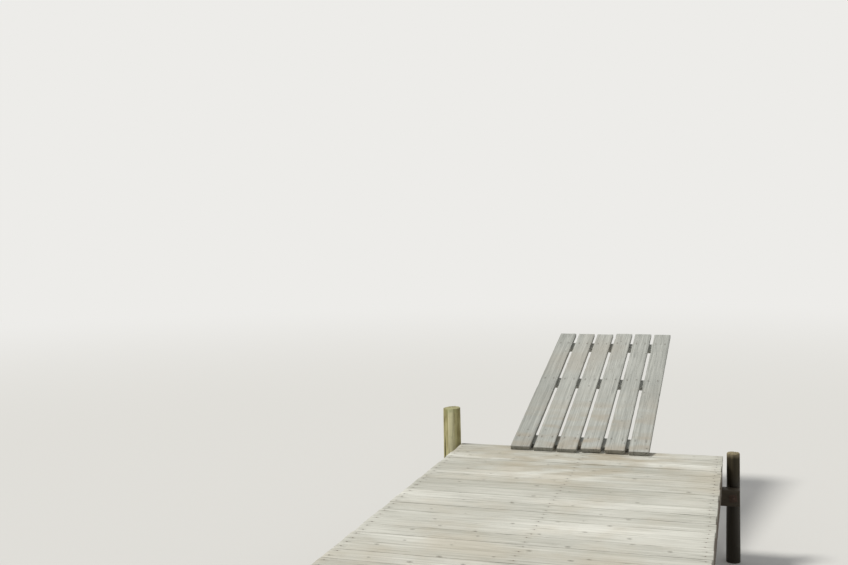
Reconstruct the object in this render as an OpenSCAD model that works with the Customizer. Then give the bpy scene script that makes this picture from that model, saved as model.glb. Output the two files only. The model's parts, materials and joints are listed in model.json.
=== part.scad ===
// Low timber jetty: a boarded deck on stringers, cross beams and round piles, with a slatted gangway
// that lies on its shore edge and climbs to the bank. Millimetres.
// +X is to the right as you walk ashore, +Y points to the shore, +Z is up. The origin is on the ground
// under the middle of the whole jetty, at the feet of the piles.

/* [Deck] */
// Width of the deck, which is the length of its boards
deck_w = 1670; // [1200:10:2400]
// Width of one deck board
board_w = 127; // [95:1:160]
// Thickness of the deck boards
board_t = 28; // [22:1:40]
// Open seam between two deck boards
board_gap = 3; // [2:0.5:12]
// Deck boards in one bay
bay_boards = 15; // [10:1:18]
// How far a board end may stray from the edge of the deck
end_stray = 2.5; // [0:0.5:6]

/* [Stringers] */
// Width of a stringer
stringer_w = 60; // [45:1:90]
// Depth of a stringer
stringer_h = 150; // [120:1:180]
// How far the outer stringers stand in from the board ends
stringer_inset = 3; // [3:1:30]
// How far the stringers stop short of the last board edge
stringer_setback = 20; // [5:1:60]

/* [Cross beams] */
// Width of a cross beam
beam_w = 80; // [60:1:120]
// Depth of a cross beam
beam_h = 100; // [80:1:140]
// How far an inner cross beam stops short of the board ends
beam_inset = 3; // [0:1:40]

/* [Piles] */
// Height of the deck above the feet of the piles
deck_top = 650; // [500:10:1500]
// Diameter of an inner pile at its head
pile_d = 122; // [100:1:180]
// How far the middle of an inner pile stands in from the board ends
pile_inset = 250; // [150:5:400]
// Growth of a pile's diameter for each metre down
pile_taper = 12; // [0:1:30]
// Worn edge round the head of a pile
head_edge = 8; // [2:1:14]

/* [Corner posts] */
// Diameter of a corner post at its top
post_d = 117; // [100:1:160]
// Height of a corner post above the deck
post_rise = 240; // [100:5:900]
// Slope of a corner post's weathered top, in degrees
post_top_slope = 7; // [0:0.5:15]
// Clear space between a corner post and the board ends
post_gap = 6.5; // [6:0.5:20]
// How far the middle of a corner post stands in from the end of the deck
post_setback = 10; // [0:1:40]
// Depth of the seat cut into a corner post for its cross beam
post_notch = 25; // [12:1:40]
// Diameter of the low stump at the right shore corner
stump_d = 79; // [70:1:110]
// Height of the stump above the deck
stump_rise = 30; // [5:1:90]
// Clear space between the stump and the board ends
stump_gap = 21; // [8:1:40]
// Depth of the seat cut into the stump for the cross beam
stump_notch = 15; // [8:1:22]

/* [Gangway] */
// Width of one gangway board
slat_w = 125; // [95:1:150]
// Thickness of a gangway board
slat_t = 25; // [20:1:35]
// Gap between two gangway boards
slat_gap = 25; // [10:1:40]
// Length of the gangway boards
slat_l = 1960; // [1500:10:2600]
// Length of gangway that lies over the deck
gangway_lap = 118; // [100:1:200]
// How far the middle of the gangway stands to the left of the middle of the deck
gangway_shift = 40; // [0:1:120]
// Width of a batten under the gangway
batten_w = 125; // [90:1:150]
// Thickness of a batten
batten_t = 25; // [18:1:35]
// Distance from the foot of the gangway to its lower batten
batten_foot = 92; // [80:1:110]
// Distance from the foot of the gangway to its middle batten
batten_mid = 1014; // [700:2:1200]
// Distance from the head of the gangway to its upper batten
batten_head = 135; // [60:1:250]
// How far a batten stops short of the side of the gangway
batten_inset = 10; // [0:1:40]

/* [Hidden] */

// Clearance where a piece is let into another, or lies loose on it
fit = 0.3;
// How far each gangway board has slipped up from the foot of the lowest one
slat_slip = [6, 3, 0, 17, 15, 9];
// The rows of piles, from the shore out
ROWS = ["shore", "second", "middle", "fourth", "outer"];

bays = len(ROWS) - 1;
board_pitch = board_w + board_gap;
bay_l = bay_boards * board_pitch;
deck_l = bays * bay_l - board_gap;

// Heights, measured from the top of the deck
stringer_top = -board_t;
beam_top = stringer_top - stringer_h;
beam_foot = beam_top - beam_h;

// The corner posts stand outside the deck, and their cross beam sits against a seat cut in them
post_r = post_d / 2;
stump_r = stump_d / 2;
post_x = deck_w / 2 + post_gap + post_r;
stump_x = deck_w / 2 + stump_gap + stump_r;
shore_post_y = -post_setback;
outer_post_y = post_setback - deck_l;
seat_in = post_r - post_notch;
shore_seat_y = shore_post_y - seat_in;
outer_seat_y = outer_post_y + seat_in;
stump_y = shore_seat_y + stump_r - stump_notch;
shore_beam_y = shore_seat_y - fit - beam_w / 2;
outer_beam_y = outer_seat_y + fit + beam_w / 2;

// The gangway rests on its lowest board end and on the edge of its lower batten, which sets its slope
slope = atan(batten_t / batten_foot);
slats = len(slat_slip);
slat_pitch = slat_w + slat_gap;
gangway_w = slats * slat_pitch - slat_gap;

// The jetty reaches from the feet of the outer posts to the head of the gangway
function foot_r(top_d, h) = (top_d + pile_taper * h / 1000) / 2;
post_h = deck_top + post_rise;
reach_out = outer_post_y - foot_r(post_d, post_h);
reach_in = (slat_l + max(slat_slip)) * cos(slope) - gangway_lap;
middle_y = (reach_in + reach_out) / 2;

module place() {
    translate([0, -middle_y, deck_top]) children();
}

// Deck boards of one bay, each with its ends a little out of line
module deck_bay(bay) {
    color("#d8d2c4") place()
        for (i = [bay * bay_boards : (bay + 1) * bay_boards - 1])
            translate([end_stray * sin(i * 137), -i * board_pitch - board_w / 2, -board_t / 2])
                cube([deck_w, board_w, board_t], center = true);
}

// Stringer whose middle line is at x, between two distances from the shore edge
module stringer(x, from_y, to_y) {
    color("#8c8272") place()
        translate([x - stringer_w / 2, to_y, beam_top])
            cube([stringer_w, from_y - to_y, stringer_h]);
}

stringer_x = deck_w / 2 - stringer_inset - stringer_w / 2;
joint_y = -bays / 2 * bay_l;

module inner_stringer(x) stringer(x, -stringer_setback, joint_y);
module outer_stringer(x) stringer(x, joint_y, stringer_setback - deck_l);

// Cross beam between two ends in x, with its middle line at y
module cross_beam(y, left_x, right_x) {
    color("#7d7364") place()
        translate([left_x, y - beam_w / 2, beam_foot])
            cube([right_x - left_x, beam_w, beam_h]);
}

inner_beam_x = deck_w / 2 - beam_inset;
module inner_beam(row) cross_beam(-row * bay_l, -inner_beam_x, inner_beam_x);

// Debarked log that stands on the ground, thicker towards its foot, with a worn edge round its head
module log_pile(top_d, h) {
    rotate_extrude($fn = 64)
        polygon([
            [0, 0],
            [foot_r(top_d, h), 0],
            [top_d / 2, h - head_edge],
            [top_d / 2 - head_edge, h],
            [0, h]
        ]);
}

module inner_pile(side, row) {
    color("#6e6152") place()
        translate([side * (deck_w / 2 - pile_inset), -row * bay_l, -deck_top])
            log_pile(pile_d, deck_top + beam_foot);
}

// Seat for a cross beam, cut into a log at the origin from the side that facing points to
module beam_seat(seat, facing) {
    reach = post_d;
    translate([-reach, facing > 0 ? seat : -seat - reach, beam_foot + deck_top])
        cube([2 * reach, reach, beam_h + fit]);
}

// Corner post with its weathered top sloping down to its outer side
module corner_post(side, y, facing) {
    color("#a89f8a") place()
        translate([side * post_x, y, -deck_top])
            difference() {
                log_pile(post_d, post_h);
                beam_seat(seat_in, facing);
                translate([side * post_r, 0, post_h])
                    rotate([0, side * post_top_slope, 0])
                        translate([-post_d, -post_d, -post_r * tan(post_top_slope)])
                            cube([2 * post_d, 2 * post_d, post_d]);
            }
}

module stump() {
    color("#4a4036") place()
        translate([stump_x, stump_y, -deck_top])
            difference() {
                log_pile(stump_d, deck_top + stump_rise);
                beam_seat(stump_r - stump_notch, -1);
            }
}

// The gangway's own frame: x across, y up the slope from its foot, z = 0 under its boards
module on_gangway() {
    place() translate([-gangway_shift, -gangway_lap, fit]) rotate([slope, 0, 0]) children();
}

module slat(i) {
    color("#c9c4ba") on_gangway()
        translate([i * slat_pitch - gangway_w / 2, slat_slip[i], 0])
            cube([slat_w, slat_l, slat_t]);
}

module batten(from_foot) {
    color("#8f877a") on_gangway()
        translate([batten_inset - gangway_w / 2, from_foot, -batten_t])
            cube([gangway_w - 2 * batten_inset, batten_w, batten_t]);
}

deck_bay(0);  // deck_boards_1
deck_bay(1);  // deck_boards_2
deck_bay(2);  // deck_boards_3
deck_bay(3);  // deck_boards_4
inner_stringer(-stringer_x);  // stringer_left_inner
outer_stringer(-stringer_x);  // stringer_left_outer
inner_stringer(0);  // stringer_middle_inner
outer_stringer(0);  // stringer_middle_outer
inner_stringer(stringer_x);  // stringer_right_inner
outer_stringer(stringer_x);  // stringer_right_outer
cross_beam(shore_beam_y, -post_x - post_r, stump_x + stump_r);  // cross_beam_1
inner_beam(1);  // cross_beam_2
inner_beam(2);  // cross_beam_3
inner_beam(3);  // cross_beam_4
cross_beam(outer_beam_y, -post_x - post_r, post_x + post_r);  // cross_beam_5
corner_post(-1, shore_post_y, -1);  // shore_post_left
stump();  // shore_stump_right
inner_pile(-1, 1);  // pile_left_2
inner_pile(1, 1);  // pile_right_2
inner_pile(-1, 2);  // pile_left_3
inner_pile(1, 2);  // pile_right_3
inner_pile(-1, 3);  // pile_left_4
inner_pile(1, 3);  // pile_right_4
corner_post(-1, outer_post_y, 1);  // outer_post_left
corner_post(1, outer_post_y, 1);  // outer_post_right
slat(0);  // gangway_board_1
slat(1);  // gangway_board_2
slat(2);  // gangway_board_3
slat(3);  // gangway_board_4
slat(4);  // gangway_board_5
slat(5);  // gangway_board_6
batten(batten_foot);  // batten_lower
batten(batten_mid);  // batten_middle
batten(slat_l - batten_head - batten_w);  // batten_upper
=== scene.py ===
import json
import math
import random

import bmesh
import bpy
from mathutils import Matrix, Vector, noise
from mathutils.bvhtree import BVHTree


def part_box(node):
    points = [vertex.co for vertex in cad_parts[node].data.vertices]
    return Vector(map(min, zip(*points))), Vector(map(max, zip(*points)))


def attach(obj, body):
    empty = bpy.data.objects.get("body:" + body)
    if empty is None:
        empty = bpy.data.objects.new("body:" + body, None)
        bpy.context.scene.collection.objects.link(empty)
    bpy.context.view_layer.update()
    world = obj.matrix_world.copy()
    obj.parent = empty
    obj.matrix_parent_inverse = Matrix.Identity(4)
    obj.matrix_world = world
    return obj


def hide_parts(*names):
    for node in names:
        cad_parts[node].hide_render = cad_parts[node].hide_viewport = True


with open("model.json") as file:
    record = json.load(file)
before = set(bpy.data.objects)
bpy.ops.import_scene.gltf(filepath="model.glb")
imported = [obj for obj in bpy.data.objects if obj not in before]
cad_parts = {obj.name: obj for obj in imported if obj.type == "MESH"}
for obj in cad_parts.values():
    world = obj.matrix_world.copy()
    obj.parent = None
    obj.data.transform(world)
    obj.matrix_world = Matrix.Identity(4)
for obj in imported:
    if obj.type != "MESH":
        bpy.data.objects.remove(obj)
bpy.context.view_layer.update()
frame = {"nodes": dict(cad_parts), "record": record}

MM = 0.001

# Places that the frame gives
mounts = {m["name"]: m for m in frame["record"]["mounts"]}
deck_top = mounts["deck_surface"]["pos_m"][2]
head_axis = mounts["gangway_head"]["axis"]
climb = Matrix.Rotation(math.atan2(head_axis[1], -head_axis[2]), 4, "X")
gangway_foot = Vector(((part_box("batten_lower")[0].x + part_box("batten_lower")[1].x) / 2,
                       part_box("gangway_board_3")[0].y, deck_top))

# The boards are nailed to the stringers, over their middle lines
stringer_lines = sorted({round((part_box(n)[0].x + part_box(n)[1].x) / 2, 4)
                         for n in frame["nodes"] if n.startswith("stringer")})

# The slats are nailed to battens, which cross them this far from their middle
batten_lines = (-0.83, 0.09, 0.78)

# Widths of the deck's boards and the gangway's slats
board_width = 127 * MM
slat_width = 125 * MM

# The wood is soaked up to this height
water_line = deck_top - 190 * MM

# Wear of the sawn timbers: rounded edges, with nicks that go down and in, a ripple of the top, and ends
# that are frayed, and sawn askew by a share of the width
board_edge = 1.8 * MM
timber_edge = 4 * MM
nick_down = 3.2 * MM
nick_in = 2.0 * MM
top_ripple = 0.4 * MM
end_fray = 1.6 * MM
end_skew = 0.012

# Distances between the points of a sawn timber's mesh, along a board, along a beam, across and through it
board_spacing = 24 * MM
beam_spacing = 36 * MM
cross_spacing = 14 * MM
deep_spacing = 25 * MM

# Logs: the radius that they gain in each metre down, the slope of a post's head, its worn edge and surface,
# how crooked they are, and how far a knot stands proud
log_taper = 6 * MM
head_slope = math.tan(math.radians(7))
head_edge = 7 * MM
head_wear = 0.9 * MM
log_crook = 3 * MM
knot_rise = 1.6 * MM

# Lobes, ridges and ripples of a log: their share of its radius, how closely they follow each other round it
# and along it, and how far they are sunk in its skin
log_swells = ((0.035, 1.2, 1.6, 0.6), (0.014, 4.5, 5.0, 0.3), (0.004, 16.0, 14.0, 0.0))

# Cracks of a log: their least and greatest depth in millimetres, their width, and how soon they close
crack_depths = (4, 9)
crack_width = 1.8 * MM
crack_fade = 0.12

# The split of the tall post beside the deck: its angle, its lowest and highest point, its depth, and how
# far the wood stands proud on one side of it
post_split = (math.radians(-123), 0.40, 0.73, 9 * MM, 6 * MM)

# Distance between the points of a log's mesh along it, and their rings in each end
log_spacing = 12 * MM
cap_rings = 6

# Clearance of a log inside its CAD solid, and of its seat from the beam
log_clear = 0.2 * MM
seat_clear = 0.3 * MM

# Wire nails with flat heads, in pairs, and 12 mm coach bolts with square washers, and the height of the
# middle of the nut and of the bolt's end over the washer's
nail_head = 3.8 * MM
nail_sink = 1.6 * MM
nail_pair = 34 * MM
bolt_radius = 6 * MM
bolt_head = 14 * MM
bolt_end = 20 * MM
washer_size = (46 * MM, 46 * MM, 4 * MM)
nut_radius = 11 * MM
nut_height = 10 * MM
nut_middle = 6.5 * MM
end_middle = 9 * MM
steel_edge = 0.8 * MM

# How often the patterns of the grain come in a metre, along, across and through a timber
streak_scale = (1.7, 75.0, 75.0)
fibre_scale = (11.0, 520.0, 520.0)
sway_scale = (1.0, 4.0, 4.0)
wander_scale = (9.0, 0.0, 0.0)
check_scale = 4.2

# How often the patterns of weather and use come in a metre, along X, Y and Z, or any way
wear_scale = (1.1, 3.2, 3.2)
scuff_scale = (4.0, 9.0, 9.0)
run_scale = (13.0, 13.0, 3.0)
algae_scale = 19.0
rust_scale = 240.0

# A Map Range node with these settings starts and ends gently
eased = {"interpolation_type": "SMOOTHSTEP"}


def linear(hex_colour):
    """An sRGB hex colour as linear red, green, blue and alpha."""
    parts = [int(hex_colour[i:i + 2], 16) / 255 for i in (1, 3, 5)]
    return tuple(c / 12.92 if c <= 0.04045 else ((c + 0.055) / 1.055) ** 2.4 for c in parts) + (1.0,)


def add(tree, kind, settings=None, inputs=None):
    """Adds a shader node with its settings and inputs. An input is a value, a socket, or a node, which
    gives its first output. What isn't given keeps its default."""
    made = tree.nodes.new("ShaderNode" + kind)
    for name, value in (settings or {}).items():
        setattr(made, name, value)
    for name, value in (inputs or {}).items():
        if isinstance(value, bpy.types.Node):
            value = next(o for o in value.outputs if o.enabled)
        if isinstance(value, bpy.types.NodeSocket):
            tree.links.new(value, made.inputs[name])
        else:
            made.inputs[name].default_value = value
    return made


def empty_material(name):
    """A new material with no nodes."""
    material = bpy.data.materials.new(name)
    material.use_nodes = True
    material.node_tree.nodes.clear()
    return material


# Patterns of the wood

def wood_figure(tree, pith, ring_width):
    """The pattern that a softwood has from the tree, and what drying did to it, each part by its name.
    It follows the mesh: grain holds the distance along, across and through each timber, chance three
    random numbers for each timber, knot the place in the nearest knot, counted in its radii, to_end how
    far the timber's end is, and split where it gapes."""
    grain, chance, knot_place = (add(tree, "Attribute", {"attribute_name": name}).outputs["Vector"]
                                 for name in ("grain", "chance", "knot"))
    to_end, split = (add(tree, "Attribute", {"attribute_name": name}).outputs["Fac"]
                     for name in ("to_end", "split"))
    axes = add(tree, "SeparateXYZ", None, {0: grain})
    luck = add(tree, "SeparateXYZ", None, {0: chance})

    # Each timber looks up its own stretch of the patterns
    shift = add(tree, "VectorMath", {"operation": "MULTIPLY"}, {0: chance, 1: (40.0, 7.0, 5.0)})
    own = add(tree, "VectorMath", {"operation": "ADD"}, {0: grain, 1: shift})

    # Grey streaks 5 to 15 mm wide and raised fibres of 1 to 2 mm, both drawn out along the grain
    streaks = add(tree, "VectorMath", {"operation": "MULTIPLY"}, {0: own, 1: streak_scale})
    streaks = add(tree, "TexNoise", None, {"Vector": streaks, "Scale": 1.0, "Detail": 5.0, "Roughness": 0.62})
    fibres = add(tree, "VectorMath", {"operation": "MULTIPLY"}, {0: own, 1: fibre_scale})
    fibres = add(tree, "TexNoise", None, {"Vector": fibres, "Scale": 1.0})

    figure = dict(grain=grain, chance=chance, knot_place=knot_place, to_end=to_end, split=split, axes=axes,
                  luck=luck, shift=shift, own=own, streaks=streaks, fibres=fibres)
    add_knots(tree, figure)
    add_rings(tree, figure, pith, ring_width)
    add_checks(tree, figure, pith)
    add_end_grain(tree, figure, pith)
    return figure


def add_knots(tree, figure):
    """Knots, with a dark heart, a rim where they shrank loose, and checks of their own."""
    in_knot = add(tree, "VectorMath", {"operation": "LENGTH"}, {0: figure["knot_place"]})
    knot = add(tree, "MapRange", eased, {0: in_knot, 1: 0.85, 2: 1.15, 3: 1.0, 4: 0.0})
    heart = add(tree, "MapRange", eased, {0: in_knot, 1: 0.1, 2: 0.8, 3: 0.3, 4: 0.0})

    # The rim is loose in places only
    rim = add(tree, "Math", {"operation": "SUBTRACT"}, {0: in_knot, 1: 1.08})
    rim = add(tree, "Math", {"operation": "ABSOLUTE"}, {0: rim})
    rim = add(tree, "MapRange", None, {0: rim, 1: 0.0, 2: 0.16, 3: 1.0, 4: 0.0})
    loose = add(tree, "Math", {"operation": "MULTIPLY_ADD"}, {0: figure["streaks"], 1: 2.4, 2: -0.65})
    rim = add(tree, "Math", {"operation": "MULTIPLY", "use_clamp": True}, {0: rim, 1: loose})

    # The checks widen from the heart to the rim
    checks = add(tree, "VectorMath", {"operation": "NORMALIZE"}, {0: figure["knot_place"]})
    checks = add(tree, "VectorMath", {"operation": "MULTIPLY_ADD"},
                 {0: checks, 1: (2.4, 2.4, 0.0), 2: figure["shift"]})
    checks = add(tree, "TexNoise", None, {"Vector": checks, "Scale": 1.0, "Detail": 1.0})
    checks = add(tree, "MapRange", None, {0: checks, 1: 0.6, 2: 0.68, 3: 0.0, 4: 0.6})
    checks = add(tree, "Math", {"operation": "MULTIPLY"}, {0: checks, 1: knot})
    figure.update(in_knot=in_knot, knot=knot, heart=heart, rim=rim, knot_checks=checks)


def add_rings(tree, figure, pith, ring_width):
    """Growth rings round a pith that lies beside a sawn timber's wide face, or in the middle of a log."""
    sway = add(tree, "VectorMath", {"operation": "MULTIPLY"}, {0: figure["own"], 1: sway_scale})
    sway = add(tree, "TexNoise", None, {"Vector": sway, "Scale": 1.0})
    sway = add(tree, "VectorMath", {"operation": "MULTIPLY_ADD"},
               {0: sway.outputs["Color"], 1: (0.0, pith["wobble"], pith["wobble"]),
                2: (0.0, -pith["wobble"] / 2, -pith["wobble"] / 2)})
    out = add(tree, "VectorMath", {"operation": "MULTIPLY_ADD"},
              {0: figure["chance"], 1: (0.0, -pith["across"], pith["below"]),
               2: (0.0, pith["across"] / 2, pith["near"])})
    out = add(tree, "VectorMath", {"operation": "MULTIPLY_ADD"},
              {0: figure["grain"], 1: (0.0, 1.0, 1.0), 2: out})
    swayed = add(tree, "VectorMath", {"operation": "ADD"}, {0: out, 1: sway})
    radius = add(tree, "VectorMath", {"operation": "LENGTH"}, {0: swayed})

    # They bulge round the knots, and a knot has its own
    bulge = add(tree, "MapRange", {"interpolation_type": "SMOOTHERSTEP"},
                {0: figure["in_knot"], 1: 0.8, 2: 4.4, 3: 15 * MM, 4: 0.0})
    count = add(tree, "Math", {"operation": "ADD"}, {0: radius, 1: bulge})
    count = add(tree, "Math", {"operation": "DIVIDE"}, {0: count, 1: ring_width})
    knot_count = add(tree, "Math", {"operation": "MULTIPLY"}, {0: figure["in_knot"], 1: 4.6})
    count = add(tree, "Mix", {"data_type": "FLOAT"}, {0: figure["knot"], 2: count, 3: knot_count})

    # Pale spring wood darkens slowly into summer wood, which ends at a sharp line
    share = add(tree, "Math", {"operation": "FRACT"}, {0: count})
    rings = add(tree, "MapRange", eased, {0: share, 1: 0.25, 2: 0.86})
    edge = add(tree, "MapRange", None, {0: share, 1: 0.9, 2: 1.0, 3: 1.0, 4: 0.0})
    rings = add(tree, "Math", {"operation": "MULTIPLY"}, {0: rings, 1: edge})
    figure.update(out=out, swayed=swayed, radius=radius, rings=rings)


def add_checks(tree, figure, pith):
    """Drying checks: hair cracks 50 to 300 mm long, in some places only, on planes that point at the pith."""
    turned = add(tree, "SeparateXYZ", None, {0: figure["swayed"]})
    turn = add(tree, "Math", {"operation": "ARCTAN2"}, {0: turned.outputs["Z"], 1: turned.outputs["Y"]})
    count = add(tree, "Math", {"operation": "MULTIPLY"}, {0: turn, 1: pith["lines"] / (2 * math.pi)})
    # Each plane and each timber looks up its own line of the pattern
    number = add(tree, "Math", {"operation": "FLOOR"}, {0: count})
    number = add(tree, "Math", {"operation": "MULTIPLY"}, {0: number, 1: 7.31})
    along = add(tree, "Math", {"operation": "MULTIPLY"}, {0: figure["axes"].outputs["X"], 1: check_scale})
    luck = add(tree, "Math", {"operation": "MULTIPLY"}, {0: figure["luck"].outputs["X"], 1: 91.0})
    opened = add(tree, "CombineXYZ", None, {0: along, 1: number, 2: luck})
    opened = add(tree, "TexNoise", None, {"Vector": opened, "Scale": 1.0, "Detail": 1.0})
    opened = add(tree, "MapRange", None, {0: opened, 1: 0.56, 2: 0.76, 3: 0.0001, 4: 0.15})
    if pith["wide_face"]:
        # Where a plane meets a sawn face at a slant, its check would show too wide
        outward = add(tree, "VectorMath", {"operation": "NORMALIZE"}, {0: figure["swayed"]})
        outward = add(tree, "VectorMath", {"operation": "ABSOLUTE"}, {0: outward})
        outward = add(tree, "SeparateXYZ", None, {0: outward})
        upward = add(tree, "NewGeometry").outputs["Normal"]
        upward = add(tree, "SeparateXYZ", None, {0: upward})
        upward = add(tree, "Math", {"operation": "ABSOLUTE"}, {0: upward.outputs["Z"]})
        wide, narrow = ("Z", "Y") if pith["wide_face"] == "top" else ("Y", "Z")
        square = add(tree, "Mix", {"data_type": "FLOAT"},
                     {0: upward, 2: outward.outputs[narrow], 3: outward.outputs[wide]})
        opened = add(tree, "Math", {"operation": "MULTIPLY"}, {0: opened, 1: square})
    checks = add(tree, "Math", {"operation": "FRACT"}, {0: count})
    checks = add(tree, "Math", {"operation": "SUBTRACT"}, {0: checks, 1: 0.5})
    checks = add(tree, "Math", {"operation": "ABSOLUTE"}, {0: checks})
    checks = add(tree, "MapRange", None, {0: checks, 1: 0.0, 2: opened, 3: 1.0, 4: 0.0})
    for more in (figure["split"], figure["knot_checks"]):
        checks = add(tree, "Math", {"operation": "MAXIMUM"}, {0: checks, 1: more})
    figure.update(turn=turn, check_luck=luck, checks=checks)


def add_end_grain(tree, figure, pith):
    """The cut ends, where rays crack open from the pith."""
    end = add(tree, "MapRange", None, {0: figure["to_end"], 1: 0.4 * MM, 2: 1.4 * MM, 3: 1.0, 4: 0.0})
    turns = add(tree, "Math", {"operation": "MULTIPLY"}, {0: figure["turn"], 1: pith["rays"]})
    outward = add(tree, "Math", {"operation": "MULTIPLY"}, {0: figure["radius"], 1: 16.0})
    rays = add(tree, "CombineXYZ", None, {0: turns, 1: outward, 2: figure["check_luck"]})
    rays = add(tree, "TexNoise", None, {"Vector": rays, "Scale": 1.0})
    rays = add(tree, "MapRange", None, {0: rays, 1: 0.60, 2: 0.68})
    rays = add(tree, "Math", {"operation": "MULTIPLY"}, {0: rays, 1: end})
    figure.update(end=end, rays=rays)


def split_ends(tree, figure, width):
    """A board splits from each end, once, along a line that wanders a little."""
    axes, luck = figure["axes"], figure["luck"]
    far = add(tree, "Math", {"operation": "GREATER_THAN"}, {0: axes.outputs["X"], 1: 0.0})
    where = add(tree, "Mix", {"data_type": "FLOAT"}, {0: far, 2: luck.outputs["Y"], 3: luck.outputs["Z"]})
    where = add(tree, "Math", {"operation": "MULTIPLY_ADD"}, {0: where, 1: 0.8 * width, 2: -0.4 * width})
    length = add(tree, "Mix", {"data_type": "FLOAT"}, {0: far, 2: luck.outputs["Z"], 3: luck.outputs["X"]})
    length = add(tree, "Math", {"operation": "MULTIPLY_ADD"}, {0: length, 1: 0.26, 2: 0.02})
    wander = add(tree, "VectorMath", {"operation": "MULTIPLY"}, {0: figure["own"], 1: wander_scale})
    wander = add(tree, "TexNoise", None, {"Vector": wander, "Scale": 1.0})
    wander = add(tree, "Math", {"operation": "MULTIPLY_ADD"}, {0: wander, 1: 9 * MM, 2: -4.5 * MM})
    off = add(tree, "Math", {"operation": "SUBTRACT"}, {0: axes.outputs["Y"], 1: where})
    off = add(tree, "Math", {"operation": "SUBTRACT"}, {0: off, 1: wander})
    off = add(tree, "Math", {"operation": "ABSOLUTE"}, {0: off})
    opened = add(tree, "MapRange", None, {0: figure["to_end"], 1: 0.0, 2: length, 3: 1.5 * MM, 4: 0.01 * MM})
    return add(tree, "MapRange", None, {0: off, 1: 0.0, 2: opened, 3: 1.0, 4: 0.0})


def nail_stains(tree, figure, rows):
    """Iron from the nails bleeds into the wood, further along the grain than across it."""
    axes = figure["axes"]
    nearest = None
    for row in rows:
        off = add(tree, "Math", {"operation": "SUBTRACT"}, {0: axes.outputs["X"], 1: row})
        off = add(tree, "Math", {"operation": "ABSOLUTE"}, {0: off})
        if nearest is not None:
            off = add(tree, "Math", {"operation": "MINIMUM"}, {0: off, 1: nearest})
        nearest = off
    along = add(tree, "Math", {"operation": "MULTIPLY"}, {0: nearest, 1: 0.34})
    side = add(tree, "Math", {"operation": "ABSOLUTE"}, {0: axes.outputs["Y"]})
    side = add(tree, "Math", {"operation": "SUBTRACT"}, {0: side, 1: nail_pair})
    away = add(tree, "CombineXYZ", None, {0: along, 1: side})
    away = add(tree, "VectorMath", {"operation": "LENGTH"}, {0: away})
    return add(tree, "MapRange", eased, {0: away, 1: 2 * MM, 2: 11 * MM, 3: 0.3, 4: 0.0})


def edge_grime(tree, figure, width, most):
    """Dirt gathers along the edges of a board."""
    side = add(tree, "Math", {"operation": "ABSOLUTE"}, {0: figure["axes"].outputs["Y"]})
    return add(tree, "MapRange", eased, {0: side, 1: width / 2 - 8 * MM, 2: width / 2, 3: 0.0, 4: most})


# What weather and use did to the wood, each from 0 where it didn't reach to 1

def paleness(tree, figure, place, tone, ring_share, fibre, wear):
    """How pale the bare wood is."""
    share = add(tree, "Math", {"operation": "MULTIPLY_ADD"}, {0: figure["streaks"], 1: 1.5, 2: -0.21})
    share = add(tree, "Math", {"operation": "MULTIPLY_ADD"}, {0: figure["rings"], 1: -ring_share, 2: share})
    for part, most in ((figure["fibres"], fibre), (figure["luck"].outputs["X"], tone)):
        part = add(tree, "Math", {"operation": "SUBTRACT"}, {0: part, 1: 0.5})
        share = add(tree, "Math", {"operation": "MULTIPLY_ADD"}, {0: part, 1: most, 2: share})
    # Sun and rain reach some stretches more than others, whichever board they lie on
    worn = add(tree, "VectorMath", {"operation": "MULTIPLY"}, {0: place, 1: wear_scale})
    worn = add(tree, "TexNoise", None, {"Vector": worn, "Scale": 1.0, "Detail": 5.0, "Roughness": 0.6})
    worn = add(tree, "Math", {"operation": "SUBTRACT"}, {0: worn, 1: 0.5})
    return add(tree, "Math", {"operation": "MULTIPLY_ADD", "use_clamp": True}, {0: worn, 1: wear, 2: share})


def browned(tree, place, patch, patch_from, patch_to, browning, under):
    """Wood stays brown in patches, and on the faces that look down."""
    brown = add(tree, "VectorMath", {"operation": "DIVIDE"}, {0: place, 1: patch})
    brown = add(tree, "TexNoise", None, {"Vector": brown, "Scale": 1.0, "Detail": 4.0, "Roughness": 0.6})
    brown = add(tree, "MapRange", eased, {0: brown, 1: patch_from, 2: patch_to, 3: 0.0, 4: browning})
    if not under:
        return brown
    facing = add(tree, "NewGeometry").outputs["Normal"]
    facing = add(tree, "SeparateXYZ", None, {0: facing})
    sheltered = add(tree, "MapRange", eased, {0: facing.outputs["Z"], 1: -0.3, 2: -0.8, 3: 0.0, 4: under})
    return add(tree, "Math", {"operation": "MAXIMUM"}, {0: brown, 1: sheltered})


def trodden(tree, place):
    """Dirt that feet bring along is trodden in round the foot of the gangway."""
    near = add(tree, "VectorMath", {"operation": "DISTANCE"}, {0: place, 1: gangway_foot})
    near = add(tree, "MapRange", eased, {0: near, 1: 0.1, 2: 1.1, 3: 0.85, 4: 0.0})
    scuffs = add(tree, "VectorMath", {"operation": "MULTIPLY"}, {0: place, 1: scuff_scale})
    scuffs = add(tree, "TexNoise", None, {"Vector": scuffs, "Scale": 1.0, "Detail": 4.0})
    scuffs = add(tree, "MapRange", None, {0: scuffs, 1: 0.42, 2: 0.64})
    return add(tree, "Math", {"operation": "MULTIPLY"}, {0: near, 1: scuffs})


def bleach_and_painted_highlight(tree, figure, toward):
    """The side of a log that faces toward is paler, with ragged edges: partly sun bleaching, and partly a
    painted highlight where sunlight lit the log.
    """
    outward = add(tree, "VectorMath", {"operation": "NORMALIZE"}, {0: figure["out"]})
    sunny = add(tree, "VectorMath", {"operation": "DOT_PRODUCT"}, {0: outward, 1: toward})
    sunny = add(tree, "Math", {"operation": "MULTIPLY_ADD"},
                {0: figure["streaks"], 1: 0.35, 2: sunny.outputs["Value"]})
    return add(tree, "MapRange", eased, {0: sunny, 1: 1.04, 2: 1.19, 3: 0.0, 4: 0.9})


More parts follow.
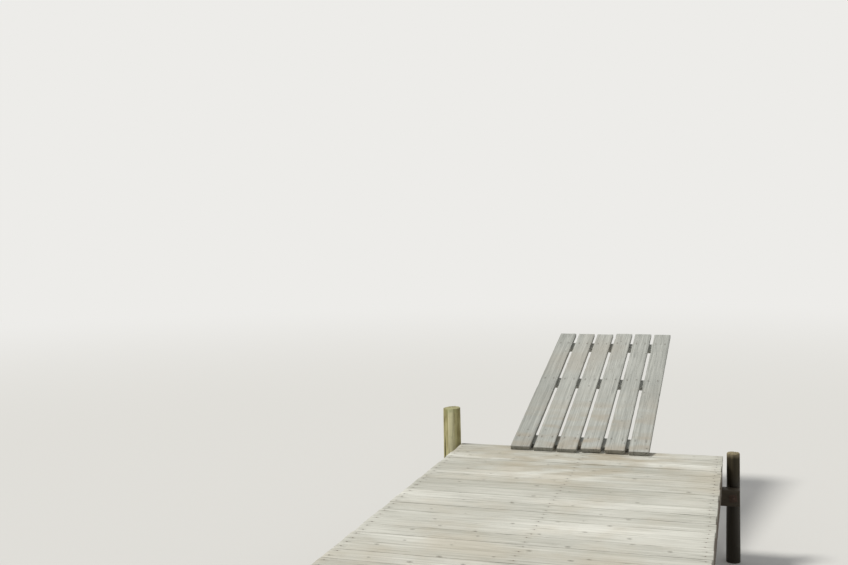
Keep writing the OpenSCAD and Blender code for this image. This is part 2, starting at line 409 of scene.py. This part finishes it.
def head_dry_and_painted_light(tree, figure, height):
    """What stands above the deck is paler: partly dried-out wood, and partly a painted highlight on the lit
    head.
    """
    ragged = add(tree, "Math", {"operation": "MULTIPLY_ADD"}, {0: figure["streaks"], 1: 30 * MM, 2: height})
    return add(tree, "MapRange", eased,
               {0: ragged, 1: deck_top + 10 * MM, 2: deck_top + 40 * MM, 3: 0.0, 4: 0.75})


def overgrown(tree, place, height):
    """Algae and lichen settle on damp heads and shaded sides."""
    growth = add(tree, "TexNoise", None,
                 {"Vector": place, "Scale": algae_scale, "Detail": 6.0, "Roughness": 0.72})
    rise = add(tree, "MapRange", None,
               {0: height, 1: deck_top + 0.13, 2: deck_top + 0.24, 3: -0.07, 4: 0.05})
    growth = add(tree, "Math", {"operation": "ADD"}, {0: growth, 1: rise})
    return add(tree, "MapRange", eased, {0: growth, 1: 0.48, 2: 0.72, 3: 0.0, 4: 0.6})


def soaked(tree, place, height):
    """Soaked wood is dark, up to a ragged line with dark runs above it."""
    runs = add(tree, "VectorMath", {"operation": "MULTIPLY"}, {0: place, 1: run_scale})
    runs = add(tree, "TexNoise", None, {"Vector": runs, "Scale": 1.0, "Detail": 4.0})
    tide = add(tree, "Math", {"operation": "MULTIPLY_ADD"}, {0: runs, 1: -170 * MM, 2: height})
    return add(tree, "MapRange", eased,
               {0: tide, 1: water_line - 85 * MM, 2: water_line + 20 * MM, 3: 0.92, 4: 0.0})


# Materials

def weathered_wood(name, light, dark, brown, crack, end_light, end_dark, tone, ring_share, pith,
                   ring_width=3.2 * MM, fibre=0.34, wear=0.5, browning=0.5, patch=(0.6, 0.6, 0.6),
                   patch_from=0.46, patch_to=0.70, under=0.0, board=None, edge_dirt=0.2, nail_rows=(),
                   mud=None, bleach_and_highlight=None, dry_and_lit_head=None, wet=None, moss=None, roughness=0.86):
    """Unfinished softwood: bleached grey on top by sun and rain, with brown left where it is sheltered.
    Its grey goes from dark to light: tone is how far whole timbers differ, and ring_share, fibre and wear
    are what rings, fibres and weather add. Board is a board's width, and under the brown of faces that
    look down."""
    material = empty_material(name)
    tree = material.node_tree
    figure = wood_figure(tree, pith, ring_width)
    place = add(tree, "TexCoord").outputs["Object"]
    height = add(tree, "SeparateXYZ", None, {0: place}).outputs["Z"]

    # Coats of colour over the bare wood, each with the share of it that it covers
    coats = [(browned(tree, place, patch, patch_from, patch_to, browning, under), linear(brown))]
    if mud:
        coats.append((trodden(tree, place), linear(mud)))
    # A paler side of a log: partly sun bleaching, partly a painted highlight
    if bleach_and_highlight:
        coats.append((bleach_and_painted_highlight(tree, figure, bleach_and_highlight["toward"]), linear(bleach_and_highlight["to"])))
    # A paler head above the deck: partly dry wood, partly a painted highlight
    if dry_and_lit_head:
        coats.append((head_dry_and_painted_light(tree, figure, height), linear(dry_and_lit_head)))

    # Knots are harder and darker
    knotted = add(tree, "Math", {"operation": "MULTIPLY_ADD"},
                  {0: figure["knot"], 1: 0.36, 2: figure["heart"]})
    coats.append((knotted, linear(end_dark)))

    # End grain is the darkest, and shows every ring
    end_share = add(tree, "Math", {"operation": "MULTIPLY_ADD"}, {0: figure["rings"], 1: -0.75, 2: 0.55})
    end_share = add(tree, "Math", {"operation": "MULTIPLY_ADD", "use_clamp": True},
                    {0: figure["fibres"], 1: 0.8, 2: end_share})
    end_colour = add(tree, "Mix", {"data_type": "RGBA"},
                     {0: end_share, 6: linear(end_dark), 7: linear(end_light)})
    ended = add(tree, "Math", {"operation": "MULTIPLY"}, {0: figure["end"], 1: 0.85})
    coats.append((ended, end_colour))

    # Loose knots, cracks, iron stains and dirt
    open_wood = add(tree, "Math", {"operation": "MAXIMUM"}, {0: figure["checks"], 1: figure["rays"]})
    if board:
        splits = split_ends(tree, figure, board)
        open_wood = add(tree, "Math", {"operation": "MAXIMUM"}, {0: open_wood, 1: splits})
    marks = [open_wood]
    if nail_rows:
        marks.append(nail_stains(tree, figure, nail_rows))
    if board:
        marks.append(edge_grime(tree, figure, board, edge_dirt))
    marked = add(tree, "Math", {"operation": "MULTIPLY"}, {0: figure["rim"], 1: 0.65})
    for mark in marks:
        marked = add(tree, "Math", {"operation": "MAXIMUM"}, {0: marked, 1: mark})
    coats.append((marked, linear(crack)))

    if moss:
        coats.append((overgrown(tree, place, height), linear(moss)))
    rough = roughness
    if wet:
        wetness = soaked(tree, place, height)
        coats.append((wetness, linear(wet)))
        rough = add(tree, "MapRange", None, {0: wetness, 3: roughness, 4: 0.5})

    pale = paleness(tree, figure, place, tone, ring_share, fibre, wear)
    colour = add(tree, "Mix", {"data_type": "RGBA"}, {0: pale, 6: linear(dark), 7: linear(light)})
    for share, coat in coats:
        colour = add(tree, "Mix", {"data_type": "RGBA"}, {0: share, 6: colour, 7: coat})

    # Raised grain: hard summer wood stands proud, fibres are ragged and cracks are deep
    relief = figure["streaks"]
    rises = ((figure["rings"], 0.35), (figure["fibres"], 0.4), (figure["knot"], 0.5), (open_wood, -1.6))
    for part, rise in rises:
        relief = add(tree, "Math", {"operation": "MULTIPLY_ADD"}, {0: part, 1: rise, 2: relief})
    relief = add(tree, "Bump", None, {"Strength": 0.6, "Distance": 1.2 * MM, "Height": relief})
    shader = add(tree, "BsdfPrincipled", None,
                 {"Base Color": colour, "Roughness": rough, "Normal": relief, "IOR": 1.45,
                  "Specular IOR Level": 0.3})
    add(tree, "OutputMaterial", None, {"Surface": shader})
    return material


def rusted_steel(name, dark, light):
    """Iron whose zinc is gone: dull brown with darker and brighter rust, pitted."""
    material = empty_material(name)
    tree = material.node_tree
    place = add(tree, "TexCoord").outputs["Object"]
    pits = add(tree, "TexNoise", None, {"Vector": place, "Scale": rust_scale, "Detail": 4.0})
    share = add(tree, "MapRange", None, {0: pits, 1: 0.35, 2: 0.65})
    colour = add(tree, "Mix", {"data_type": "RGBA"}, {0: share, 6: linear(dark), 7: linear(light)})
    relief = add(tree, "Bump", None, {"Strength": 0.5, "Distance": 0.3 * MM, "Height": pits})
    shader = add(tree, "BsdfPrincipled", None,
                 {"Base Color": colour, "Metallic": 0.3, "Roughness": 0.72, "Normal": relief})
    add(tree, "OutputMaterial", None, {"Surface": shader})
    return material


# Where the rings of a board, a framing timber and a log have their middle, in metres, how many end checks a
# turn has, on how many lines round the pith the hair cracks lie, and which faces are the wide ones
board_pith = {"across": 0.10, "below": 0.075, "near": 0.03, "wobble": 0.020, "rays": 26.0, "lines": 100,
              "wide_face": "top"}
frame_pith = dict(board_pith, near=0.055, wide_face="side")
log_pith = {"across": 0.0, "below": 0.0, "near": 0.0, "wobble": 0.008, "rays": 9.0, "lines": 44,
            "wide_face": None}

# Sawn pine decking, bleached silver by the sun, its grain raised by rain and feet
deck_wood = weathered_wood(
    "weathered_pine_decking", light="#e8e7dd", dark="#b0afa3", brown="#bfb49d", crack="#66604f",
    end_light="#a9a598", end_dark="#716d60", tone=0.28, ring_share=0.22, pith=board_pith, wear=1.5,
    browning=0.4, under=0.75, board=board_width, edge_dirt=0.08, nail_rows=stringer_lines, mud="#aca18a")
# The same pine on the gangway, greyer and cooler as painted shade, as it lies in the shade
shaded_gangway_wood = weathered_wood(
    "weathered_pine_gangway_painted_shade", light="#cacbc3", dark="#91938d", brown="#aaa294", crack="#56534b",
    end_light="#9d9b91", end_dark="#6a675f", tone=0.3, ring_share=0.2, pith=board_pith, browning=0.4,
    under=0.6, board=slat_width, nail_rows=batten_lines, mud="#aaa08f")
# Sawn pine that never dries under the deck: brown-grey, darkened partly as painted shade, darker where it was
# wet
damp_shaded_frame_wood = weathered_wood(
    "damp_pine_framing_painted_shade", light="#80766a", dark="#554c40", brown="#635545", crack="#282219",
    end_light="#776d5d", end_dark="#40382d", tone=0.25, ring_share=0.26, pith=frame_pith, under=0.5,
    wet="#40392d")
# Debarked larch log: straw and grey-brown, streaked, with a paler side that is partly sun bleaching and
# partly a painted highlight, with algae on its head
post_wood = weathered_wood(
    "debarked_larch_post", light="#d3cc9a", dark="#989064", brown="#857b50", crack="#40372a",
    end_light="#b9b48c", end_dark="#7f7852", tone=0.1, ring_share=0.10, pith=log_pith, ring_width=2.8 * MM,
    fibre=0.55, browning=0.85, patch=(0.038, 0.038, 0.15), patch_from=0.40, patch_to=0.62,
    bleach_and_highlight={"toward": (0.0, 0.14, -0.99), "to": "#eae5bc"}, wet="#3b3424", moss="#a2a676")
# Waterlogged pine pile, darkened partly as painted shade: nearly black where it is soaked, olive brown above,
# with a dry grey-brown head that is partly a painted highlight
shaded_pile_wood = weathered_wood(
    "waterlogged_pine_pile_painted_shade", light="#4a4231", dark="#2b2519", brown="#372f20", crack="#16120d",
    end_light="#a39777", end_dark="#6b6146", tone=0.2, ring_share=0.10, pith=log_pith, ring_width=2.8 * MM,
    fibre=0.5, dry_and_lit_head="#8b8068", wet="#28231a", roughness=0.75)
# Wire nails, dulled to grey-brown, and coach bolts with darker rust
nail_iron = rusted_steel("rusted_wire_nail", dark="#5b524a", light="#786453")
bolt_iron = rusted_steel("rusted_coach_bolt", dark="#3a302a", light="#5a4435")


# Modelling

def solids(node, turn=Matrix.Identity(4)):
    """The lowest and highest corner of each solid of a CAD node, after a turn, from the greatest Y down."""
    shape = bmesh.new()
    shape.from_mesh(frame["nodes"][node].data)
    bmesh.ops.remove_doubles(shape, verts=shape.verts, dist=0.01 * MM)
    bmesh.ops.transform(shape, matrix=turn, verts=shape.verts)
    left = set(shape.verts)
    boxes = []
    while left:
        reached = [left.pop()]
        for vert in reached:
            for edge in vert.link_edges:
                other = edge.other_vert(vert)
                if other in left:
                    left.remove(other)
                    reached.append(other)
        low = Vector(min(v.co[i] for v in reached) for i in range(3))
        high = Vector(max(v.co[i] for v in reached) for i in range(3))
        boxes.append((low, high))
    shape.free()
    return sorted(boxes, key=lambda box: -box[1].y)


def wooden_shape():
    """An empty mesh with the layers that the wood reads."""
    shape = bmesh.new()
    for layer in ("grain", "chance", "knot"):
        shape.verts.layers.float_vector.new(layer)
    for layer in ("to_end", "split"):
        shape.verts.layers.float.new(layer)
    return shape


def drawn(dice, most):
    """Three random numbers from 0 to most."""
    return Vector((dice.uniform(0, most), dice.uniform(0, most), dice.uniform(0, most)))


def grown_knots(length, width, dice, largest):
    """Where branches grew through a timber: the place along and across, and the radius of each knot.
    They are 160 to 750 mm apart."""
    at = -length / 2 + dice.uniform(0.0, 0.4)
    knots = []
    while at < length / 2:
        knots.append((at, dice.uniform(-0.5, 0.5) * width, dice.uniform(0.35, 1.0) * largest))
        at += dice.uniform(0.16, 0.75)
    return knots


def place_in_knot(along, across, knots, girth=None):
    """Where a point lies in the knot nearest to it, counted in that knot's radii. Girth is that of a log.
    Branches lean, so a knot is longer along the grain. Further off than a knot reaches, the place is lifted
    clear, so that no false knot shows between two."""
    best = Vector((1.0, 1.0)), 10 * MM
    for at, side, radius in knots:
        away = Vector((along - at, across - side))
        if girth:
            away.y = (away.y + girth / 2) % girth - girth / 2
        if away.length < best[0].length:
            best = away, radius
    away, radius = best
    lift = 20.0 * min(1.0, max(0.0, (away.length - 50 * MM) / (12 * MM)))
    return Vector((0.75 * away.x / radius, away.y / radius, lift))


def join(shape, one):
    """Adds the mesh one to shape, and frees one."""
    carrier = bpy.data.meshes.new("carrier")
    one.to_mesh(carrier)
    one.free()
    shape.from_mesh(carrier)
    bpy.data.meshes.remove(carrier)


def sawn_blank(size, edge, spacing):
    """A sawn timber round the origin, with its length along X, in small faces, its edges worn round."""
    one = wooden_shape()
    bmesh.ops.create_cube(one, size=1.0)
    bmesh.ops.scale(one, vec=size, verts=one.verts)
    cuts = (max(2, round(size.x / spacing)), max(2, round(size.y / cross_spacing)),
            round(size.z / deep_spacing) if size.z > size.y else 1)
    for axis, count in enumerate(cuts):
        rails = [e for e in one.edges if abs((e.verts[1].co - e.verts[0].co)[axis]) > 0.5 * size[axis]]
        bmesh.ops.subdivide_edges(one, edges=rails, cuts=count, use_grid_fill=True)
    corners = [e for e in one.edges if e.calc_face_angle(0.0) > 1.0]
    bmesh.ops.bevel(one, geom=corners, offset=edge, segments=2, profile=0.5, affect="EDGES", material=-1)
    return one


def timber(shape, box, along, dice, edge, spacing=board_spacing, cup=0.0, sag=0.0, knot=10 * MM,
           turn=Matrix.Identity(4)):
    """Adds a sawn timber that fills a box, with worn edges, and with faces and ends a little out of true.
    Along is the axis that its grain follows, and turn places the box. Its underside stays on its seat.
    The branches grew through its wider pair of faces, so the knots are round there."""
    low, high = box
    size = high - low
    face = Matrix.Identity(4)
    if along == 1:
        size = Vector((size.y, size.x, size.z))
        face = Matrix.Rotation(math.pi / 2, 4, "Z")
    half = size / 2
    tall = size.z > size.y
    one = sawn_blank(size, edge, spacing)

    where = drawn(dice, 90)
    bow = cup * dice.choice((-1, 1)) * dice.uniform(0.3, 1.0)
    low_by = sag * dice.random()
    skew = dice.uniform(-end_skew, end_skew)
    knots = grown_knots(size.x, size.z if tall else size.y, dice, knot)
    numbers = drawn(dice, 1)
    layers = one.verts.layers
    for vert in one.verts:
        co = vert.co
        vert[layers.float["to_end"]] = half.x - abs(co.x)
        # Rim and tip rise from 0 to 1 in the outermost tenth of the width and of the length
        side = co.y / half.y
        rim = max(0.0, abs(side) - 0.9) / 0.1
        nick = max(0.0, noise.noise(Vector((co.x * 14, side * 3, 0.0)) + where) - 0.1)
        tip = max(0.0, abs(co.x) / half.x - 0.9) / 0.1
        fray = abs(noise.noise(Vector((side * 2, co.z * 60, math.copysign(7, co.x))) + where))
        if co.z > 0:
            # The top cups or crowns, wears down, and its long edges are nicked by use
            co.z += bow * (side * side - 0.5) + top_ripple * noise.noise(co * 9 + where) - low_by
            co.z -= rim * nick * nick_down
        co.y -= math.copysign(rim * nick * nick_in, side)
        # Ends are sawn by hand, a little askew, and frayed
        askew = (abs(skew) + math.copysign(skew, co.x) * side) * half.y
        co.x -= math.copysign(tip * tip * (fray * end_fray + askew), co.x)
        across, deep = (co.z, co.y) if tall else (co.y, co.z)
        vert[layers.float_vector["grain"]] = (co.x, across, deep)
        vert[layers.float_vector["chance"]] = numbers
        vert[layers.float_vector["knot"]] = place_in_knot(co.x, across, knots)
    middle = Matrix.Translation((low + high) / 2)
    bmesh.ops.transform(one, matrix=turn @ middle @ face, verts=one.verts)
    join(shape, one)


def round_blank(top_radius, foot_radius, height, around, seat):
    """A tapered log that stands on the origin, in small faces, its head worn round, and with an edge round
    it at the heights where its seat begins and ends."""
    one = wooden_shape()
    bmesh.ops.create_cone(one, cap_ends=True, segments=around, radius1=foot_radius, radius2=top_radius,
                          depth=height, matrix=Matrix.Translation((0, 0, height / 2)))
    rails = [e for e in one.edges if abs(e.verts[1].co.z - e.verts[0].co.z) > height / 2]
    bmesh.ops.subdivide_edges(one, edges=rails, cuts=round(height / log_spacing), use_grid_fill=True)
    for cap_z in (0.0, height):
        cap = [f for f in one.faces if len(f.verts) == around and abs(f.calc_center_median().z - cap_z) < MM]
        for _ in range(cap_rings):
            bmesh.ops.inset_region(one, faces=cap, thickness=top_radius / (cap_rings + 1.5))
        bmesh.ops.poke(one, faces=cap)
    rim = [e for e in one.edges if e.calc_face_angle(0.0) > 1.0 and e.verts[0].co.z > height / 2]
    bmesh.ops.bevel(one, geom=rim, offset=head_edge, segments=3, profile=0.6, affect="EDGES", material=-1)
    if seat:
        for cut in (seat["low"] - 0.4 * MM, seat["low"], seat["high"], seat["high"] + 0.4 * MM):
            bmesh.ops.bisect_plane(one, geom=one.verts[:] + one.edges[:] + one.faces[:], dist=0.01 * MM,
                                   plane_co=(0, 0, cut), plane_no=(0, 0, 1))
    return one


def log(foot, foot_radius, height, dice, slant, around, cracks, splits, seat):
    """A debarked log that stands at foot: tapered, a little crooked and lobed, with long drying cracks, a
    worn head and radial checks in its end grain. Slant is the slope of its head towards +X or -X. A seat
    for a beam is cut to a plane at seat["y"], between two heights."""
    top_radius = foot_radius - log_taper * height
    one = round_blank(top_radius, foot_radius, height, around, seat)

    where = drawn(dice, 90)
    numbers = drawn(dice, 1)
    girth = 2 * math.pi * foot_radius
    knots = [(at + height / 2, side, radius)
             for at, side, radius in grown_knots(height, girth, dice, 11 * MM)]
    gaps = list(splits)
    for _ in range(cracks):
        gaps.append((dice.uniform(0, 2 * math.pi), height * (1 - dice.uniform(0.35, 1.0)), height + 1.0,
                     dice.uniform(*crack_depths) * MM, 0.0))
    layers = one.verts.layers
    for vert in one.verts:
        co = vert.co
        z = co.z
        angle = math.atan2(co.y, co.x)
        out = math.hypot(co.x, co.y)
        radius = foot_radius + (top_radius - foot_radius) * z / height
        share = out / radius
        on_skin = max(0.0, share - 0.75) / 0.25
        ring = Vector((math.cos(angle), math.sin(angle), 0.0))
        in_knot = place_in_knot(z, angle * foot_radius, knots, girth)
        vert[layers.float_vector["grain"]] = (z, co.x, co.y)
        vert[layers.float_vector["chance"]] = numbers
        vert[layers.float_vector["knot"]] = in_knot if share > 0.9 else (0.0, 0.0, 20.0)
        swell = sum(part * (noise.noise(ring * turns + Vector((0, 0, z * rises)) + where) - sunk)
                    for part, turns, rises, sunk in log_swells)
        move = swell * radius * share
        move += knot_rise * math.exp(-in_knot.length_squared / 3.0) * max(0.0, share - 0.9) / 0.1
        dip = 0.0
        gape = 0.0
        for at, lowest, highest, depth, lip in gaps:
            sway = 0.12 * noise.noise(Vector((z * 3.0, at, 0.0)) + where)
            off = (angle - at - sway + math.pi) % (2 * math.pi) - math.pi
            fade = min(1.0, max(0.0, min(z - lowest, highest - z) / crack_fade))
            width = crack_width * (0.5 + fade)
            groove = depth * fade * math.exp(-(off * out / width) ** 2)
            gape = max(gape, min(1.0, fade * 1.6) * math.exp(-(off * out / (0.7 * width)) ** 2))
            move -= groove * on_skin
            if lip and -0.7 < off < 0.0:
                move += lip * fade * (1 + off / 0.7) ** 2 * on_skin
            dip += 0.6 * groove * min(1.0, share * 2.5)
        vert[layers.float["split"]] = 0.9 * gape * on_skin
        crook = (z / height) * (1 - 0.3 * z / height) * log_crook
        co.x += ring.x * move + crook * noise.noise(Vector((z * 1.3, 0.0, 0.0)) + where)
        co.y += ring.y * move + crook * noise.noise(Vector((z * 1.3, 9.0, 0.0)) + where)
        head = height - max(0.0, co.x * slant)
        if z > height - head_edge * 1.2:
            co.z -= dip + head_wear * (0.5 + noise.noise(Vector((co.x * 90, co.y * 90, 0)) + where))
            co.z = min(co.z, head)
        on_side = share > 0.97 and head_edge < z < height - head_edge * 0.6
        vert[layers.float["to_end"]] = min(z, max(0.0, head - z) + MM) if on_side else 0.0
        if seat and seat["low"] - 0.1 * MM < z < seat["high"] + 0.1 * MM:
            if co.y * seat["y"] > seat["y"] ** 2:
                co.y = seat["y"]
    bmesh.ops.transform(one, matrix=Matrix.Translation(foot), verts=one.verts)
    return one


def dress(name, shape, material, slot, nodes=()):
    """Makes a piece of the object from a mesh: named, finished, and riding on the jetty's one body."""
    mesh = bpy.data.meshes.new(name)
    shape.to_mesh(mesh)
    shape.free()
    mesh.materials.append(material)
    mesh.shade_smooth()
    mesh.set_sharp_from_angle(angle=math.radians(40))
    piece = bpy.data.objects.new(name, mesh)
    bpy.context.scene.collection.objects.link(piece)
    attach(piece, "root")
    if nodes:
        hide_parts(*nodes)
    return piece


def nail_heads(boards, marks, turn=Matrix.Identity(4)):
    """Round nail heads driven into the boards' top, each laid on the surface that it is found on."""
    skin = bmesh.new()
    for piece in boards:
        skin.from_mesh(piece.data)
    tree = BVHTree.FromBMesh(skin)
    up = turn.to_3x3() @ Vector((0, 0, 1))
    shape = bmesh.new()
    for mark in marks:
        hit, normal, _, _ = tree.ray_cast(turn @ mark + up * 0.05, -up)
        if hit is None:
            continue
        one = bmesh.new()
        bmesh.ops.create_cone(one, cap_ends=True, segments=12, radius1=nail_head, radius2=nail_head * 0.86,
                              depth=nail_sink)
        crown = [f for f in one.faces if f.normal.z > 0.9]
        bmesh.ops.inset_region(one, faces=crown, thickness=nail_head * 0.3)
        bmesh.ops.translate(one, vec=(0, 0, 0.25 * MM), verts=crown[0].verts)
        tilt = normal.to_track_quat("Z", "Y").to_matrix().to_4x4()
        bmesh.ops.transform(one, matrix=Matrix.Translation(hit) @ tilt, verts=one.verts)
        join(shape, one)
    skin.free()
    return shape


def coach_bolt(shape, head, washer, dice):
    """Adds a coach bolt: a low domed head on the log, and a square washer, a nut and its end on the beam."""
    stand = (washer - head).to_track_quat("Z", "Y").to_matrix().to_4x4()
    spin = Matrix.Rotation(dice.uniform(-0.3, 0.3), 4, "Z")
    dome = bmesh.new()
    bmesh.ops.create_uvsphere(dome, u_segments=20, v_segments=10, radius=bolt_head)
    bmesh.ops.scale(dome, vec=(1, 1, 0.22), verts=dome.verts)
    bmesh.ops.transform(dome, matrix=Matrix.Translation(head) @ stand, verts=dome.verts)
    join(shape, dome)
    plate = bmesh.new()
    bmesh.ops.create_cube(plate, size=1.0)
    bmesh.ops.scale(plate, vec=washer_size, verts=plate.verts)
    nut = bmesh.new()
    bmesh.ops.create_cone(nut, cap_ends=True, segments=6, radius1=nut_radius, radius2=nut_radius,
                          depth=nut_height, matrix=Matrix.Translation((0, 0, nut_middle)))
    for one in (plate, nut):
        bmesh.ops.bevel(one, geom=one.edges[:], offset=steel_edge, segments=2, profile=0.5, affect="EDGES",
                        material=-1)
    shank = bmesh.new()
    bmesh.ops.create_cone(shank, cap_ends=True, segments=16, radius1=bolt_radius, radius2=bolt_radius,
                          depth=bolt_end, matrix=Matrix.Translation((0, 0, end_middle)))
    tip = [e for e in shank.edges if e.calc_face_angle(0.0) > 1.0]
    bmesh.ops.bevel(shank, geom=tip, offset=1.2 * MM, segments=1, profile=0.5, affect="EDGES", material=-1)
    for one in (plate, nut, shank):
        bmesh.ops.transform(one, matrix=Matrix.Translation(washer) @ stand @ spin, verts=one.verts)
        join(shape, one)


# The object, piece by piece

dice = random.Random(7)

# Deck
decks = []
nails = []
for node in sorted(n for n in frame["nodes"] if n.startswith("deck_boards")):
    shape = wooden_shape()
    for box in solids(node):
        timber(shape, box, 0, dice, board_edge, cup=1.1 * MM, sag=1.3 * MM)
        middle = (box[0].y + box[1].y) / 2
        for x in stringer_lines:
            for side in (-1, 1):
                nails.append(Vector((x + dice.uniform(-7, 7) * MM,
                                     middle + side * nail_pair + dice.uniform(-4, 4) * MM, deck_top)))
    decks.append(dress(node.replace("deck_boards", "deck"), shape, deck_wood, "deck_board", [node]))
dress("deck_nails", nail_heads(decks, nails), nail_iron, "fastener_steel")

# Framing
for node in sorted(n for n in frame["nodes"] if n.startswith(("stringer", "cross_beam"))):
    shape = wooden_shape()
    along = 1 if node.startswith("stringer") else 0
    timber(shape, solids(node)[0], along, dice, timber_edge, spacing=beam_spacing)
    dress(node + "_timber", shape, damp_shaded_frame_wood, "frame_timber", [node])

# Gangway
slats = []
slat_nails = []
batten_boxes = {n: solids(n, climb.inverted())[0] for n in frame["nodes"] if n.startswith("batten")}
for node in sorted(n for n in frame["nodes"] if n.startswith("gangway_board")):
    shape = wooden_shape()
    box = solids(node, climb.inverted())[0]
    timber(shape, box, 1, dice, board_edge, cup=1.4 * MM, knot=7 * MM, turn=climb)
    slats.append(dress(node.replace("board", "slat"), shape, shaded_gangway_wood, "gangway_board", [node]))
    middle = (box[0].x + box[1].x) / 2
    for low, high in batten_boxes.values():
        for side in (-1, 1):
            slat_nails.append(Vector((middle + side * nail_pair + dice.uniform(-5, 5) * MM,
                                      (low.y + high.y) / 2 + dice.uniform(-12, 12) * MM, box[1].z)))
dress("gangway_nails", nail_heads(slats, slat_nails, climb), nail_iron, "fastener_steel")
for node, box in sorted(batten_boxes.items()):
    shape = wooden_shape()
    timber(shape, box, 0, dice, board_edge, turn=climb)
    dress(node + "_board", shape, shaded_gangway_wood, "frame_timber", [node])

# Posts and piles. The logs at the corners have a seat for a cross beam, which is bolted on
bolts = bmesh.new()
for node in sorted(n for n in frame["nodes"] if "post" in n or "stump" in n or n.startswith("pile")):
    low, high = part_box(node)
    foot = Vector(((low.x + high.x) / 2, (low.y + high.y) / 2, low.z))
    foot_radius = (high.x - low.x) / 2 - log_clear
    post = "post" in node
    seat = None
    if not node.startswith("pile"):
        outer = node.startswith("outer")
        away = 1 if outer else -1
        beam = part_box("cross_beam_5" if outer else "cross_beam_1")
        seat_side, nut_side = (beam[0].y, beam[1].y) if outer else (beam[1].y, beam[0].y)
        seat = {"y": seat_side - away * seat_clear - foot.y, "low": beam[0].z, "high": beam[1].z + seat_clear}
    shape = log(foot, foot_radius, high.z - low.z, dice,
                slant=math.copysign(head_slope, foot.x) if post else 0.0, around=176 if post else 128,
                cracks=4 if post else 3, splits=[post_split] if node == "shore_post_left" else [], seat=seat)
    finish = (post_wood, "post_log") if post else (shaded_pile_wood, "pile_log")
    dress(node + "_log", shape, *finish, [node])
    if seat:
        middle = (beam[0].z + beam[1].z) / 2
        radius = foot_radius - log_taper * middle
        coach_bolt(bolts, Vector((foot.x, foot.y - away * (radius - 2 * MM), middle)),
                   Vector((foot.x, nut_side + away * 1.5 * MM, middle)), dice)
dress("coach_bolts", bolts, bolt_iron, "fastener_steel")


# Floor, light and camera

def studio():
    """A pale floor that fades into the background, one large soft lamp and a pale sky."""
    pale = linear("#edece9")
    floor_shape = bmesh.new()
    bmesh.ops.create_grid(floor_shape, x_segments=1, y_segments=1, size=60)
    floor_mesh = bpy.data.meshes.new("floor")
    floor_shape.to_mesh(floor_mesh)
    floor_shape.free()
    material = empty_material("studio_floor")
    tree = material.node_tree
    place = add(tree, "TexCoord").outputs["Object"]
    far = add(tree, "VectorMath", {"operation": "LENGTH"}, {0: place})
    fade = add(tree, "MapRange", eased, {0: far, 1: 7.0, 2: 22.0})
    matte = add(tree, "BsdfDiffuse", None, {"Color": linear("#dddcd8")})
    haze = add(tree, "Emission", None, {"Color": pale, "Strength": 1.0})
    mixed = add(tree, "MixShader", None, {0: fade, 1: matte, 2: haze})
    add(tree, "OutputMaterial", None, {"Surface": mixed})
    floor_mesh.materials.append(material)
    floor = bpy.data.objects.new("floor", floor_mesh)
    bpy.context.scene.collection.objects.link(floor)

    world = bpy.data.worlds.new("studio")
    bpy.context.scene.world = world
    world.use_nodes = True
    tree = world.node_tree
    tree.nodes.clear()
    path = add(tree, "LightPath")
    seen = path.outputs["Is Camera Ray"]
    for ray in ("Is Glossy Ray", "Is Transmission Ray"):
        seen = add(tree, "Math", {"operation": "MAXIMUM"}, {0: seen, 1: path.outputs[ray]})
    sky = add(tree, "Background", None, {"Color": linear("#f1f2f4"), "Strength": 0.5})
    backdrop = add(tree, "Background", None, {"Color": pale, "Strength": 1.0})
    mixed = add(tree, "MixShader", None, {0: seen, 1: sky, 2: backdrop})
    add(tree, "OutputWorld", None, {"Surface": mixed})

    # From the left, high, and a little from the outer end
    lamp = bpy.data.lights.new("key", "SUN")
    lamp.energy = 2.35
    lamp.angle = math.radians(12)
    lamp.color = (1.0, 0.98, 0.94)
    key = bpy.data.objects.new("key", lamp)
    toward = Vector((0.57, 0.21, -0.79))
    key.matrix_world = toward.to_track_quat("-Z", "Y").to_matrix().to_4x4()
    bpy.context.scene.collection.objects.link(key)


def camera():
    """The photograph's view: a hand-held camera 1.49 m above the deck, a little outside its right edge."""
    photo_width = 848
    focal_pixels = 1000
    yaw, pitch, roll = math.radians(-17.909), math.radians(3.537), math.radians(-1.157)
    half_deck = 835 * MM
    right_of_deck, back_from_gangway, above_deck = 0.138, 6.354, 1.487
    data = bpy.data.cameras.new("photo_view")
    data.sensor_width = 36.0
    data.lens = data.sensor_width * focal_pixels / photo_width
    eye = bpy.data.objects.new("photo_view", data)
    right_edge = mounts["outer_end"]["pos_m"][0] + half_deck
    inner_edge = max(box[1].y for box in solids("deck_boards_1"))
    place = Vector((right_edge + right_of_deck, inner_edge - back_from_gangway, deck_top + above_deck))
    eye.matrix_world = (Matrix.Translation(place) @ Matrix.Rotation(-yaw, 4, "Z")
                        @ Matrix.Rotation(math.pi / 2 - pitch, 4, "X") @ Matrix.Rotation(roll, 4, "Z"))
    bpy.context.scene.collection.objects.link(eye)
    bpy.context.scene.camera = eye


studio()
camera()
bpy.context.scene.view_settings.view_transform = "Standard"
